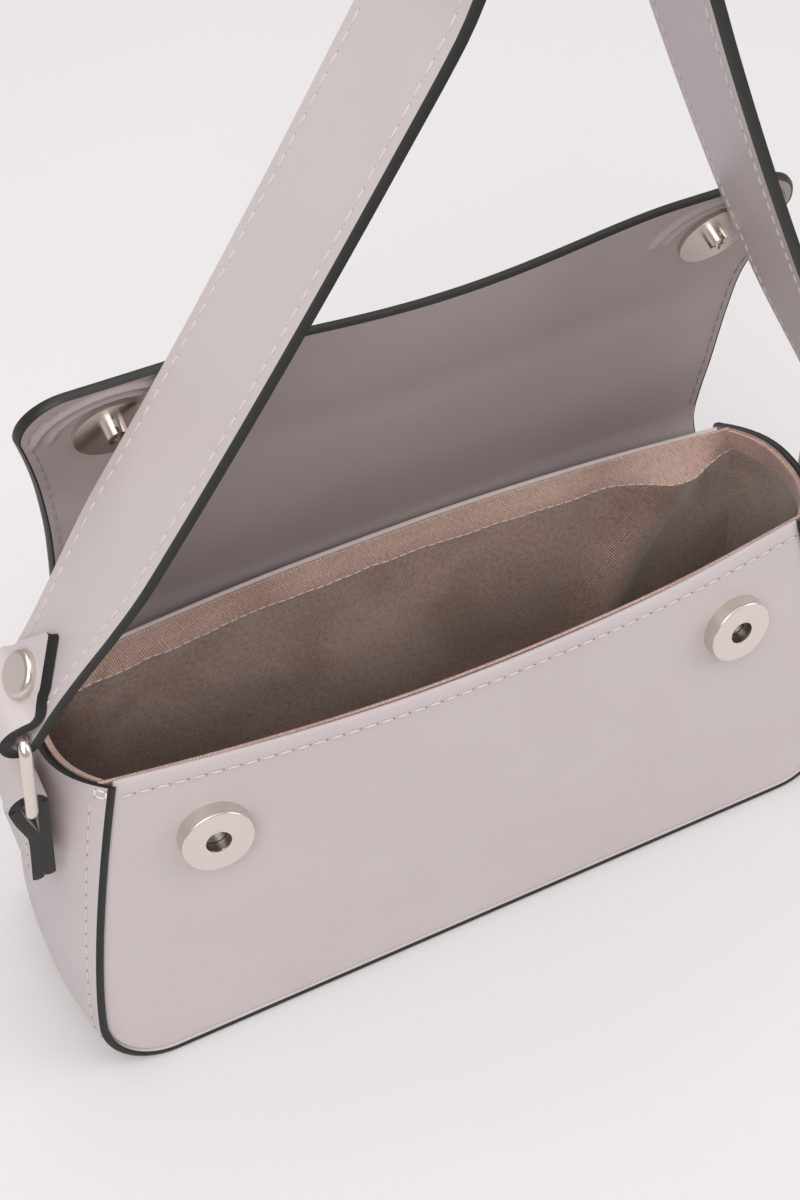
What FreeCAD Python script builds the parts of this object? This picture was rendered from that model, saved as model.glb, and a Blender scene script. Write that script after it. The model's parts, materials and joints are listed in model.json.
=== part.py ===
import FreeCAD, Part
import math
import os

# Small flap shoulder bag. X runs to the right, Y to the back, Z up. The origin is the centre of
# the base on the floor. Sizes are millimetres and degrees.

V = FreeCAD.Vector

# Body
HEIGHT = 94.0
TOP_HALF = 94.0
WIDE_HALF = 110.5
CORNER_R = 18.0
SIDE_TAPER = 1.35
BASE_HALF_DEPTH = 33.0
FRONT_TOP_Y = -14.0
BACK_TOP_Y = 26.0
FRONT_BOW = 5.0
BACK_BOW = 5.0
SIDE_BULGE_TOP = 10.5
SIDE_BULGE_LOW = 4.0
BULGE_POWER = 2.5

# Leather and cloth
GUSSET_T = 2.0
PANEL_T = 1.8
PANEL_RECESS = 0.8
LINING_T = 0.8
SEAM_GAP = 0.3
BACK_LINING_GAP = 0.5

# Flap: outer leather and inner facing
FLAP_OUTER_T = 1.2
FLAP_FACING_T = 0.9
PLY_GAP = 0.1
FLAP_T = FLAP_OUTER_T + PLY_GAP + FLAP_FACING_T
FLAP_HALF = TOP_HALF - 4.0
FLAP_FLARE = 5.5
FLAP_WAIST = 1.5
FLAP_CORNER_R = 11.0
FLAP_EDGE = 14.0
FLAP_LEAN = 8.2
FLAP_CURL = 8.0
HINGE_CLEAR = 0.3
RIM_CLEAR = 0.6
FRONT_CLEAR = 2.2
ROOT_DROP = 15.0

# Magnetic closures
SNAP_X = TOP_HALF - 21.5
SNAP_Z = HEIGHT - 23.5
SNAP_R = 9.0
CASE_H = 4.3
CASE_T = 0.5
PLATE_T = 0.8
SOCKET_HOLE_R = 3.2
STUD_R = 2.4
STUD_H = 2.4
STUD_DISC_T = 1.2
STUD_GAP = 0.5
PRONG_W = 2.6
PRONG_T = 0.5
PRONG_X = 4.0
WASHER_R = 6.5
WASHER_T = 0.6
FIT = 0.15
PRONG_ROOM = 0.6
FRONT_LINING_GAP = FIT + WASHER_T + FIT + PRONG_T + PRONG_ROOM

# Rings, tabs and strap
WIRE_R = 1.45
RUN = 0.3
LOOP_RUN = 0.9
STRAP_Y = -3.0
STRAP_W = 29.5
STRAP_END_W = 21.5
STRAP_TAPER = 45.0
STRAP_T = 2.6
RING_PITCH = 23.5
RING_TILT = 5.0
RING_SIDE_GAP = 1.0
RING_CORNER_R = RING_SIDE_GAP + WIRE_R - 0.2
TAB_T = 2.8
TAB_STAND = 2.8
TAB_FOOT_Z = HEIGHT - 24.0
RING_Z = HEIGHT + 3.5
APEX = (10.0, HEIGHT + 194.0)
APEX_R = 24.0
LEG_SAG = 2.0
LEG_START = 6.0
TAIL = 21.5
TAIL_POINT = 9.0
TAIL_END_W = 14.0
RIVET_AT = 9.5
RIVET_R = 5.5
RIVET_H = 2.2
RIVET_BACK_R = 4.5
RIVET_BACK_H = 1.2
POST_R = 1.6


def lerp(a, b, t):
    return a + (b - a) * t


def smooth(t):
    t = min(1.0, max(0.0, t))
    return t * t * (3.0 - 2.0 * t)


# Outline of the bag seen from the front

def half_width(z):
    t = max(0.0, (z - CORNER_R) / (HEIGHT - CORNER_R))
    return WIDE_HALF - (WIDE_HALF - TOP_HALF) * t ** SIDE_TAPER


def right_outline(sides=8, arcs=6):
    # (x, z, normal x, normal z) from the top corner down to the end of the bottom corner
    found = []
    rise = HEIGHT - CORNER_R
    for i in range(sides + 1):
        t = 1.0 - i / sides
        slope = (WIDE_HALF - TOP_HALF) * SIDE_TAPER * t ** (SIDE_TAPER - 1.0) / rise
        length = math.hypot(1.0, slope)
        z = CORNER_R + rise * t
        found.append((half_width(z), z, 1.0 / length, slope / length))
    for i in range(1, arcs + 1):
        a = math.pi / 2.0 * i / arcs
        x = WIDE_HALF - CORNER_R + CORNER_R * math.cos(a)
        found.append((x, CORNER_R - CORNER_R * math.sin(a), math.cos(a), -math.sin(a)))
    return found


def front_y(z):
    return lerp(-BASE_HALF_DEPTH, FRONT_TOP_Y, z / HEIGHT)


def back_y(z):
    return lerp(BASE_HALF_DEPTH, BACK_TOP_Y, z / HEIGHT)


def side_bulge(z):
    low = SIDE_BULGE_LOW * min(1.0, z / CORNER_R)
    high = max(0.0, (z - CORNER_R) / (HEIGHT - CORNER_R))
    return low + (SIDE_BULGE_TOP - SIDE_BULGE_LOW) * high


# Closed sheets of leather and cloth

def surface(point, us, vs):
    made = Part.BSplineSurface()
    made.interpolate([[point(u, v) for v in vs] for u in us])
    return made


def walls(outer, inner, us, vs, closed=(0, 1)):
    # both skins and the narrow faces between them; closed tells which ends of us get one
    skins = [surface(outer, us, vs), surface(inner, us, vs)]
    bounds = [s.bounds() for s in skins]
    faces = [s.toShape() for s in skins]

    def between(iso, k):
        edges = [getattr(s, iso)(b[k]).toShape() for s, b in zip(skins, bounds)]
        return Part.makeLoft([Part.Wire(e) for e in edges], False, True).Faces

    for k in (0, 1):
        faces += between("vIso", k + 2)
        if k in closed:
            faces += between("uIso", k)
    return faces


def solid_of(faces):
    shell = Part.makeShell(faces)
    shell.sewShape()
    solid = Part.makeSolid(shell)
    if solid.Volume < 0:
        solid.reverse()
    return solid


def sheet(outer, inner, us, vs):
    return solid_of(walls(outer, inner, us, vs))


def strip(inset, thick, trim):
    # a run of the gusset, inset from the outline and trimmed back from both seams: two curved
    # sides joined by the flat bottom
    def side(way):
        run = [(way * x, z, way * nx, nz) for x, z, nx, nz in right_outline()]

        def at(depth):
            def point(i, v):
                x, z, nx, nz = run[i]
                near = front_y(z)
                far = back_y(z)
                y = lerp(near + trim, far - trim, v)
                across = 2.0 * (y - near) / (far - near) - 1.0
                swell = side_bulge(z) * (1.0 - abs(across) ** BULGE_POWER)
                return V(x - nx * depth + math.copysign(swell, x), y, z - nz * depth)
            return point

        return walls(at(inset), at(inset + thick), range(len(run)), [i / 10.0 for i in range(11)], (0,))

    end = WIDE_HALF - CORNER_R
    deep = BASE_HALF_DEPTH - trim
    low = [V(-end, -deep, inset), V(end, -deep, inset), V(end, deep, inset), V(-end, deep, inset)]
    high = [p + V(0, 0, thick) for p in low]
    bottom = [low, high, low[:2] + high[1::-1], low[2:] + high[:1:-1]]
    flat = [Part.Face(Part.makePolygon(corners + corners[:1])) for corners in bottom]
    return solid_of(side(-1) + side(1) + flat)


def panel_rows(inset):
    return [(x - nx * inset, z - nz * inset) for x, z, nx, nz in right_outline()][::-1]


def front_face(u, z):
    return front_y(z) + PANEL_RECESS - FRONT_BOW * z / HEIGHT * (1.0 - u * u)


def back_face(u, z):
    return back_y(z) - PANEL_RECESS + BACK_BOW * z / HEIGHT * (1.0 - u * u)


def panel(face, inset, depth, thick):
    # depth and thick go into the bag, so their sign tells front from back
    rows = panel_rows(inset)

    def at(offset):
        def point(i, u):
            x, z = rows[i]
            return V(u * x, face(u, z) + offset, z)
        return point

    steps = [i / 6.0 for i in range(-6, 7)]
    return sheet(at(depth), at(depth + thick), range(len(rows)), steps)


inner_edge = GUSSET_T + SEAM_GAP
lining_edge = inner_edge + LINING_T + SEAM_GAP
nodes = {}
nodes["gusset_strip"] = strip(0.0, GUSSET_T, 0.0)
nodes["front_panel"] = panel(front_face, inner_edge, 0.0, PANEL_T)
nodes["back_panel"] = panel(back_face, inner_edge, 0.0, -PANEL_T)
nodes["lining_front"] = panel(front_face, lining_edge, PANEL_T + FRONT_LINING_GAP, LINING_T)
nodes["lining_back"] = panel(back_face, lining_edge, -PANEL_T - BACK_LINING_GAP, -LINING_T)
nodes["lining_gusset"] = strip(inner_edge, LINING_T, PANEL_RECESS + PANEL_T + SEAM_GAP)

# Closure seats on the front panel


def seat(side):
    x = side * SNAP_X
    d = 0.5

    def on(px, pz):
        return V(px, front_face(px / (half_width(pz) - inner_edge), pz), pz)

    normal = (on(x, SNAP_Z + d) - on(x, SNAP_Z - d)).cross(on(x + d, SNAP_Z) - on(x - d, SNAP_Z))
    normal.normalize()
    if normal.y > 0:
        normal = normal * -1.0
    return on(x, SNAP_Z), normal


def panel_depth():
    # how deep the panel's inner face lies under a seat, at its deepest round the washer
    at, normal = seat(1)
    found = []
    for i in range(12):
        a = math.pi * i / 6.0
        x = SNAP_X + WASHER_R * math.cos(a)
        z = SNAP_Z + WASHER_R * math.sin(a)
        y = front_face(x / (half_width(z) - inner_edge), z) + PANEL_T
        found.append((at - V(x, y, z)).dot(normal))
    return max(found)


def disc(r, low, high, hole=0.0):
    made = Part.makeCylinder(r, high - low, V(0, 0, low))
    if hole:
        made = made.cut(Part.makeCylinder(hole, high - low + 2, V(0, 0, low - 1)))
    return made


def block(x0, x1, y0, y1, z0, z1):
    return Part.makeBox(x1 - x0, y1 - y0, z1 - z0, V(x0, y0, z0))


def prongs(top, foot, thick, grow=0.0):
    # two flat legs that go down through a sheet and turn outwards under a washer
    made = []
    for s in (-1, 1):
        x = s * PRONG_X
        half = thick / 2.0 + grow
        wide = PRONG_W / 2.0 + grow
        made.append(block(x - half, x + half, -wide, wide, foot, top))
        if not grow:
            tip = x + s * 3.4
            made.append(block(min(x, tip), max(x, tip), -wide, wide, foot, foot + thick))
    return made


def fuse(shapes):
    return shapes[0].multiFuse(shapes[1:]).removeSplitter()


def place(shape, at, turn):
    made = shape.copy()
    made.Placement = FreeCAD.Placement(at, turn)
    return made


washer_top = -panel_depth() - FIT
foot = washer_top - WASHER_T - FIT - PRONG_T
case_base = 0.1
socket_plate = fuse([disc(SNAP_R - CASE_T - FIT, case_base, case_base + PLATE_T)]
                    + prongs(case_base + PLATE_T, foot, PRONG_T))
slits = prongs(case_base + PLATE_T + 3, foot - 3, PRONG_T, FIT)
socket_case = disc(SNAP_R, case_base, CASE_H, SOCKET_HOLE_R)
socket_case = socket_case.cut(disc(SNAP_R - CASE_T, case_base - 1, CASE_H - CASE_T))
rim_edge = [e for e in socket_case.Edges if abs(e.BoundBox.ZMin - CASE_H) < 1e-6
            and abs(e.BoundBox.XMax - SNAP_R) < 1e-6]
socket_case = socket_case.makeFillet(0.4, rim_edge)
magnet = disc(SNAP_R - CASE_T - FIT, case_base + PLATE_T + FIT, CASE_H - CASE_T - FIT, SOCKET_HOLE_R + FIT)
washer = disc(WASHER_R, washer_top - WASHER_T, washer_top)
for slit in slits:
    washer = washer.cut(slit)

sides = (("left", -1), ("right", 1))
for name, side in sides:
    at, normal = seat(side)
    turn = FreeCAD.Rotation(V(0, 0, 1), normal)
    nodes["socket_plate_" + name] = place(socket_plate, at, turn)
    nodes["socket_case_" + name] = place(socket_case, at, turn)
    nodes["socket_magnet_" + name] = place(magnet, at, turn)
    nodes["socket_washer_" + name] = place(washer, at, turn)
    for slit in slits:
        nodes["front_panel"] = nodes["front_panel"].cut(place(slit, at, turn))

# Flap. Its own frame has x along the bag, y from the hinge to the free edge, z from the outer
# face to the facing. The hinge lies on the outer face and the fold on the facing.

rim_back = BACK_TOP_Y - PANEL_RECESS + BACK_BOW
hinge = V(0, rim_back + SEAM_GAP + FLAP_T, HEIGHT + RIM_CLEAR + FLAP_T)
fold_y = FRONT_TOP_Y + PANEL_RECESS - FRONT_BOW - FRONT_CLEAR
flap_top_len = hinge.y - fold_y
seat_at, seat_normal = seat(1)
target = seat_at + seat_normal * CASE_H
drop_y = target.y - fold_y
drop_z = target.z - (hinge.z - FLAP_T)
reach = math.hypot(drop_y, drop_z)
stand_off = STUD_DISC_T + STUD_GAP
stud_from_fold = math.sqrt(reach ** 2 - stand_off ** 2)
hang = math.degrees(math.atan2(-drop_y, -drop_z) + math.asin(stand_off / reach))
close_lift = 90.0 - FLAP_LEAN
close_fold = 90.0 - hang - FLAP_CURL
flap_len = flap_top_len + stud_from_fold + FLAP_EDGE


def flap_half(r):
    # drawn in at the waist, flared towards the free edge
    t = max(0.0, r / flap_len - 0.4) / 0.6
    return FLAP_HALF + FLAP_FLARE * t * t - FLAP_WAIST * math.sin(math.pi * r / flap_len)


def flap_face():
    stop = flap_len - FLAP_CORNER_R
    sides_r = [stop * i / 8.0 for i in range(9)]
    wide = flap_half(stop)
    k = FLAP_CORNER_R * (1.0 - math.sqrt(0.5))
    edges = []
    for s in (1, -1):
        curve = Part.BSplineCurve()
        curve.interpolate([V(s * flap_half(r), r, 0) for r in sides_r])
        corner = Part.Arc(V(s * wide, stop, 0), V(s * (wide - k), flap_len - k, 0),
                          V(s * (wide - FLAP_CORNER_R), flap_len, 0))
        edges += [curve.toShape(), corner.toShape()]
    edges.append(Part.makeLine(V(-FLAP_HALF, 0, 0), V(FLAP_HALF, 0, 0)))
    edges.append(Part.makeLine(V(wide - FLAP_CORNER_R, flap_len, 0), V(FLAP_CORNER_R - wide, flap_len, 0)))
    return Part.Face(Part.Wire(Part.__sortEdges__(edges)))


def flap_ply(low, high, start, stop):
    ply = flap_face()
    ply.translate(V(0, 0, low))
    ply = ply.extrude(V(0, 0, high - low))
    return ply.common(block(-150, 150, start, stop, low - 1, high + 1))


facing_low = FLAP_OUTER_T + PLY_GAP
bevel_end = HINGE_CLEAR + FLAP_OUTER_T
bevel = Part.Face(Part.makePolygon([V(0, -1, 0), V(0, HINGE_CLEAR, 0), V(0, bevel_end, FLAP_OUTER_T),
                                    V(0, bevel_end, 5), V(0, -1, 5), V(0, -1, 0)]))
bevel = bevel.extrude(V(300, 0, 0))
bevel.translate(V(-150, 0, 0))
lift_turn = FreeCAD.Rotation(V(1, 0, 0), 90.0 + FLAP_LEAN)
front_turn = FreeCAD.Rotation(V(1, 0, 0), 90.0 + FLAP_LEAN + FLAP_CURL)
fold_axis = hinge + lift_turn.multVec(V(0, flap_top_len, FLAP_T))
front_at = fold_axis - front_turn.multVec(V(0, flap_top_len, FLAP_T))
fold_gap = HINGE_CLEAR / 2.0

top_outer = flap_ply(0, FLAP_OUTER_T, 0, flap_top_len - fold_gap).cut(bevel)
top_facing = flap_ply(facing_low, FLAP_T, HINGE_CLEAR + FLAP_T + 0.4, flap_top_len - fold_gap)
front_outer = flap_ply(0, FLAP_OUTER_T, flap_top_len + fold_gap, flap_len)
front_facing = flap_ply(facing_low, FLAP_T, flap_top_len + fold_gap, flap_len)

# Studs stand on the facing; their prongs and washers lie in a shallow pocket in the outer leather
thin = 0.3
pocket_depth = 0.75
stud_washer_top = -FLAP_FACING_T - PLY_GAP
stud_foot = stud_washer_top - thin - 0.05 - thin
cross = [block(-0.4, 0.4, -4, 4, STUD_DISC_T + 0.9, 9), block(-4, 4, -0.4, 0.4, STUD_DISC_T + 0.9, 9)]
post = disc(STUD_R, STUD_DISC_T - 0.1, STUD_DISC_T + STUD_H)
for groove in cross:
    post = post.cut(groove)
stud = fuse([disc(SNAP_R, 0.05, STUD_DISC_T), post] + prongs(0.6, stud_foot, thin))
stud_washer = disc(WASHER_R, stud_washer_top - thin, stud_washer_top)
stud_slits = prongs(3, -FLAP_FACING_T - PLY_GAP - thin - 0.02, thin, 0.1)
for slit in stud_slits:
    stud_washer = stud_washer.cut(slit)
pocket = disc(WASHER_R + 1.2, stud_washer_top - pocket_depth, stud_washer_top + 0.2)
flat = FreeCAD.Rotation()
for name, side in sides:
    at = V(side * SNAP_X, flap_top_len + stud_from_fold, FLAP_T)
    front_outer = front_outer.cut(place(pocket, at, flat))
    for slit in stud_slits:
        front_facing = front_facing.cut(place(slit, at, flat))
    world = front_at + front_turn.multVec(at)
    nodes["stud_disc_" + name] = place(stud, world, front_turn)
    nodes["stud_washer_" + name] = place(stud_washer, world, front_turn)

nodes["flap_top_outer"] = place(top_outer, hinge, lift_turn)
nodes["flap_top_facing"] = place(top_facing, hinge, lift_turn)
nodes["flap_front_outer"] = place(front_outer, front_at, front_turn)
nodes["flap_front_facing"] = place(front_facing, front_at, front_turn)

# Root strip: sewn flat on the back panel, its top edge drawn straight under the hinge
root_low = HEIGHT - ROOT_DROP


def root_skin(offset, top):
    def point(u, v):
        z = lerp(root_low, top, v)
        sewn = back_face(u * FLAP_HALF / half_width(z), min(z, HEIGHT)) + SEAM_GAP
        straight = hinge.y - FLAP_OUTER_T
        y = lerp(sewn, straight, smooth((z - root_low - 2.0) / (ROOT_DROP - 2.0)))
        return V(u * FLAP_HALF, y + offset, z)
    return point


nodes["flap_root"] = sheet(root_skin(FLAP_OUTER_T, hinge.z - HINGE_CLEAR),
                           root_skin(0.0, hinge.z - HINGE_CLEAR - FLAP_OUTER_T),
                           [i / 6.0 for i in range(-6, 7)], [i / 8.0 for i in range(9)])

# Ring tabs: a folded strip sewn to the gusset, with a loop over the ring's lower bar
loop_r = WIRE_R + RUN + TAB_T


def gusset_x(z):
    return half_width(z) + side_bulge(z)


bar_x = gusset_x(HEIGHT) + TAB_STAND + loop_r
foot_x = gusset_x(TAB_FOOT_Z) + SEAM_GAP
grip_z = RING_Z - 11.0
grip_x = lerp(foot_x, bar_x - loop_r, (grip_z - TAB_FOOT_Z) / (RING_Z - TAB_FOOT_Z))
tab_wide = 2.0 * TAB_T
outer_line = [V(bar_x + loop_r, 0, RING_Z), V(bar_x + loop_r - 0.9, 0, RING_Z - 4.5),
              V(grip_x + tab_wide + 0.5, 0, grip_z + 2.5), V(grip_x + tab_wide, 0, grip_z)]
bend = Part.BSplineCurve()
bend.interpolate(outer_line)
tab_edges = [Part.makeLine(V(foot_x, 0, TAB_FOOT_Z), V(bar_x - loop_r, 0, RING_Z)),
             Part.Arc(V(bar_x - loop_r, 0, RING_Z), V(bar_x, 0, RING_Z + loop_r),
                      V(bar_x + loop_r, 0, RING_Z)).toShape(),
             bend.toShape(),
             Part.makeLine(outer_line[-1], V(foot_x + tab_wide, 0, TAB_FOOT_Z)),
             Part.makeLine(V(foot_x + tab_wide, 0, TAB_FOOT_Z), V(foot_x, 0, TAB_FOOT_Z))]
tab = Part.Face(Part.Wire(Part.__sortEdges__(tab_edges))).extrude(V(0, STRAP_END_W, 0))
tab.translate(V(0, STRAP_Y - STRAP_END_W / 2.0, 0))
tab = tab.cut(Part.makeCylinder(WIRE_R + RUN, 200, V(bar_x, -100, RING_Z), V(0, 1, 0)))

# Rings: round wire bent to a rounded rectangle, standing on the lower bar and leaning inwards
ring_half = STRAP_END_W / 2.0 + RING_SIDE_GAP + WIRE_R


def ring_wire():
    c = RING_CORNER_R
    k = c * (1.0 - math.sqrt(0.5))
    a = ring_half
    h = RING_PITCH
    corners = [(a, 0, -1, 1), (a, h, -1, -1), (-a, h, 1, -1), (-a, 0, 1, 1)]
    points = []
    for i, (y, z, sy, sz) in enumerate(corners):
        legs = [V(0, y + sy * c, z), V(0, y + sy * k, z + sz * k), V(0, y, z + sz * c)]
        points.append(legs if i % 2 == 0 else legs[::-1])
    edges = []
    for i, legs in enumerate(points):
        edges.append(Part.Arc(*legs).toShape())
        edges.append(Part.makeLine(legs[2], points[(i + 1) % 4][0]))
    return Part.Wire(edges)


path = ring_wire()
start = path.Edges[0]
profile = Part.Wire(Part.makeCircle(WIRE_R, start.valueAt(start.FirstParameter),
                                    start.tangentAt(start.FirstParameter)))
ring = path.makePipeShell([profile], True, False)
upper = {}
for name, side in sides:
    turn = FreeCAD.Rotation(V(0, 1, 0), -side * RING_TILT)
    at = V(side * bar_x, STRAP_Y, RING_Z)
    nodes["ring_" + name] = place(ring, at, turn)
    upper[side] = at + turn.multVec(V(0, 0, RING_PITCH))
    if side > 0:
        nodes["ring_tab_" + name] = tab
    else:
        nodes["ring_tab_" + name] = tab.mirror(V(0, 0, 0), V(1, 0, 0))

# Strap: one run from tail to tail. It narrows to each ring, passes under the ring's upper bar and
# turns back up against the outer face as a pointed tail, which the rivet holds.
turn_r = WIRE_R + LOOP_RUN + STRAP_T / 2.0
lap = STRAP_T + RUN
apex = V(APEX[0], STRAP_Y, APEX[1])
tail_corner = TAIL - TAIL_POINT


def leg_frame(side):
    # direction up the leg at the ring, direction away from the bag, the leg's start and its shoulder
    shoulder = apex + V(side * APEX_R, 0, -APEX_R)
    along = shoulder - upper[side]
    for _ in range(5):
        along.normalize()
        out = V(side * along.z, 0, -side * along.x)
        first = upper[side] - out * turn_r + along * LEG_START
        chord = shoulder - first
        lean = math.degrees(math.atan2(4.0 * LEG_SAG, chord.Length))
        along = FreeCAD.Rotation(V(0, 1, 0), -side * lean).multVec(chord)
    along.normalize()
    return along, out, first, shoulder


def tail_half(s):
    if s > tail_corner:
        return lerp(TAIL_END_W, 1.0, (s - tail_corner) / TAIL_POINT) / 2.0
    return lerp(STRAP_END_W, TAIL_END_W, smooth((s - LEG_START) / (tail_corner - LEG_START))) / 2.0


def leg_half(s):
    return lerp(STRAP_END_W, STRAP_W, smooth((s - LEG_START) / STRAP_TAPER)) / 2.0


def end_points(side):
    # points of the middle line, each with half the strap's width there
    along, out, first, shoulder = leg_frame(side)
    pivot = upper[side]
    chord = shoulder - first
    inward = chord.cross(V(0, side, 0))
    inward.normalize()

    def tail(s):
        # the tail lies against the leg, which curves away from its first direction
        return lap - turn_r + 4.0 * LEG_SAG * ((s - LEG_START) / chord.Length) ** 2

    found = []
    middle = (tail_corner + RIVET_AT) / 2.0
    for s in [TAIL - TAIL_POINT * i / 4.0 for i in range(5)] + [middle, RIVET_AT, 7.5]:
        found.append((pivot + along * s + out * tail(s), tail_half(s)))
    for s, w in ((5.5, 0.15), (3.8, 0.5), (2.0, 0.85)):
        found.append((pivot + along * s + out * lerp(tail(s), turn_r, w), tail_half(s)))
    for a in range(0, 181, 20):
        r = math.radians(a)
        found.append((pivot + out * (turn_r * math.cos(r)) - along * (turn_r * math.sin(r)), leg_half(0.0)))
    found.append((pivot - out * turn_r + along * LEG_START / 3.0, leg_half(0.0)))
    for i in range(12):
        t = (i / 12.0) ** 1.6
        found.append((first + chord * t + inward * (LEG_SAG * 4.0 * t * (1.0 - t)),
                      leg_half(LEG_START + chord.Length * t)))
    found.append((shoulder, STRAP_W / 2.0))
    return found


arch = ((-0.62, 0.22), (0.0, 0.0), (0.62, 0.22))
crown = [(apex + V(x * APEX_R, 0, -z * APEX_R), STRAP_W / 2.0) for x, z in arch]
run = end_points(-1) + crown + end_points(1)[::-1]
centre = Part.BSplineCurve()
centre.interpolate([p for p, half in run])
stations = []
for p, half in run:
    tangent = centre.tangent(centre.parameter(p))[0]
    stations.append((p, V(-tangent.z, 0, tangent.x), half))


def strap_skin(offset):
    def point(i, v):
        p, n, half = stations[i]
        return p + n * offset + V(0, v * half, 0)
    return point


nodes["shoulder_strap"] = sheet(strap_skin(STRAP_T / 2.0), strap_skin(-STRAP_T / 2.0),
                                range(len(stations)), [-1.0, -0.5, 0.0, 0.5, 1.0])

rivet_cap = disc(RIVET_R, 0.05, RIVET_H)
top_edge = [e for e in rivet_cap.Edges if abs(e.BoundBox.ZMin - RIVET_H) < 1e-6]
rivet_cap = rivet_cap.makeFillet(1.2, top_edge)
rivet_deep = STRAP_T + lap
rivet_cap = fuse([rivet_cap, disc(POST_R, -rivet_deep - 0.3, 0.5)])
rivet_back = disc(RIVET_BACK_R, -rivet_deep - 0.1 - RIVET_BACK_H, -rivet_deep - 0.1, POST_R + 0.05)
for name, side in sides:
    along, out = leg_frame(side)[:2]
    face = upper[side] + along * RIVET_AT + out * (lap - turn_r + STRAP_T / 2.0)
    turn = FreeCAD.Rotation(V(0, 0, 1), out)
    nodes["rivet_cap_" + name] = place(rivet_cap, face, turn)
    nodes["rivet_back_" + name] = place(rivet_back, face, turn)

os.makedirs("parts", exist_ok=True)
for name in sorted(nodes):
    shape = nodes[name]
    shape.exportStep("parts/" + name + ".step")
    box = shape.BoundBox
    print("%-20s valid %s solids %d volume %.1f  x %.1f..%.1f y %.1f..%.1f z %.1f..%.1f" % (
        name, shape.isValid(), len(shape.Solids), shape.Volume,
        box.XMin, box.XMax, box.YMin, box.YMax, box.ZMin, box.ZMax))
print("hinge", hinge.y, hinge.z)
print("fold axis", fold_axis.y, fold_axis.z)
print("closing angles", close_lift, close_fold, "hang", hang)
print("flap", flap_top_len, stud_from_fold, flap_len)
print("ring lower bar", bar_x, RING_Z, "upper bar", upper[1].x, upper[1].z)
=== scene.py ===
import json
import math

import bmesh
import bpy
from mathutils import Matrix, Vector, noise


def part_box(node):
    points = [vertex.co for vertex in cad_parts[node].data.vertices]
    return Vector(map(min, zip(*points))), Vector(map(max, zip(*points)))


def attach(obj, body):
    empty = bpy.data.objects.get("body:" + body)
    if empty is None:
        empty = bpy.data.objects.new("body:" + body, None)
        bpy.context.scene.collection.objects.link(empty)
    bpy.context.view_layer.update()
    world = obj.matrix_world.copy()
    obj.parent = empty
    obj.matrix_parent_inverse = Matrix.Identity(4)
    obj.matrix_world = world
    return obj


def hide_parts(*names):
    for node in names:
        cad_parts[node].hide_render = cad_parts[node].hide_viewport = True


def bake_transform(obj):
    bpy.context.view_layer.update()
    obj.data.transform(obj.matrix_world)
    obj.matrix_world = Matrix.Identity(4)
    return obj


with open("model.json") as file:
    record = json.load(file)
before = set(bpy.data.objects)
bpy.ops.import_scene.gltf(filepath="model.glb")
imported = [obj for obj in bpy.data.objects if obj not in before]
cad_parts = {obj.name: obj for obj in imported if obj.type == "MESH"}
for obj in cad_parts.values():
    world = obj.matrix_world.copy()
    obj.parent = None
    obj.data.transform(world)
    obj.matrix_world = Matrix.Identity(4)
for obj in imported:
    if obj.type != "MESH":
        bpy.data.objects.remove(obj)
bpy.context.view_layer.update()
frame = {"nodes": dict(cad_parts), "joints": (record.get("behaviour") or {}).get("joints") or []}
nodes = frame["nodes"]
pivots = {joint["name"]: Vector(joint["pos_m"]) for joint in frame["joints"]}
mm = 0.001


def lerp(a, b, t):
    return a + (b - a) * t


def ease(t):
    t = min(1.0, max(0.0, t))
    return t * t * (3.0 - 2.0 * t)


def steps(count, low=0.0, high=1.0):
    return [lerp(low, high, i / count) for i in range(count + 1)]


def ripple(p, size, seed):
    # soft unevenness of leather and cloth, from -1 to 1, on waves of about that size
    return noise.noise(Vector(p) / size + Vector((seed, 2.0 * seed, -seed)))


# Materials

def linear(hexColour):
    parts = [int(hexColour[i:i + 2], 16) / 255.0 for i in (1, 3, 5)]
    return [c / 12.92 if c <= 0.04045 else ((c + 0.055) / 1.055) ** 2.4 for c in parts] + [1.0]


def addNode(tree, kind, settings=None, links=None):
    node = tree.nodes.new(kind)
    for key, value in (settings or {}).items():
        if isinstance(key, int) or key in node.inputs:
            node.inputs[key].default_value = value
        else:
            setattr(node, key, value)
    for key, source in (links or {}).items():
        tree.links.new(source, node.inputs[key])
    return node


def newMaterial(name, colour, roughness, metallic=0.0, specular=0.5):
    mat = bpy.data.materials.new(name)
    mat.use_nodes = True
    shader = mat.node_tree.nodes["Principled BSDF"]
    shader.inputs["Base Color"].default_value = linear(colour)
    shader.inputs["Roughness"].default_value = roughness
    shader.inputs["Metallic"].default_value = metallic
    shader.inputs["Specular IOR Level"].default_value = specular
    return mat, mat.node_tree, shader


def coatedLeather(name, colour, worn, roughness):
    # polyurethane-coated split leather: an even satin colour, faint clouding, a very fine pressed grain
    grainSize = 0.9 * mm
    cloudSize = 28 * mm
    mat, tree, shader = newMaterial(name, colour, roughness, specular=0.4)
    place = addNode(tree, "ShaderNodeTexCoord")
    cloud = addNode(tree, "ShaderNodeTexNoise", {"Scale": 1.0 / cloudSize, "Detail": 3.0},
                    {"Vector": place.outputs["Object"]})
    tint = addNode(tree, "ShaderNodeMix", {"data_type": "RGBA"}, {"Factor": cloud.outputs["Fac"]})
    # sockets 6 and 7 of the node are its two colours
    tint.inputs[6].default_value = linear(colour)
    tint.inputs[7].default_value = linear(worn)
    grain = addNode(tree, "ShaderNodeTexVoronoi", {"Scale": 1.0 / grainSize}, {"Vector": place.outputs["Object"]})
    bump = addNode(tree, "ShaderNodeBump", {"Strength": 0.12, "Distance": 0.12 * mm},
                   {"Height": grain.outputs["Distance"]})
    tree.links.new(tint.outputs[2], shader.inputs["Base Color"])
    tree.links.new(bump.outputs["Normal"], shader.inputs["Normal"])
    return mat


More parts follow.
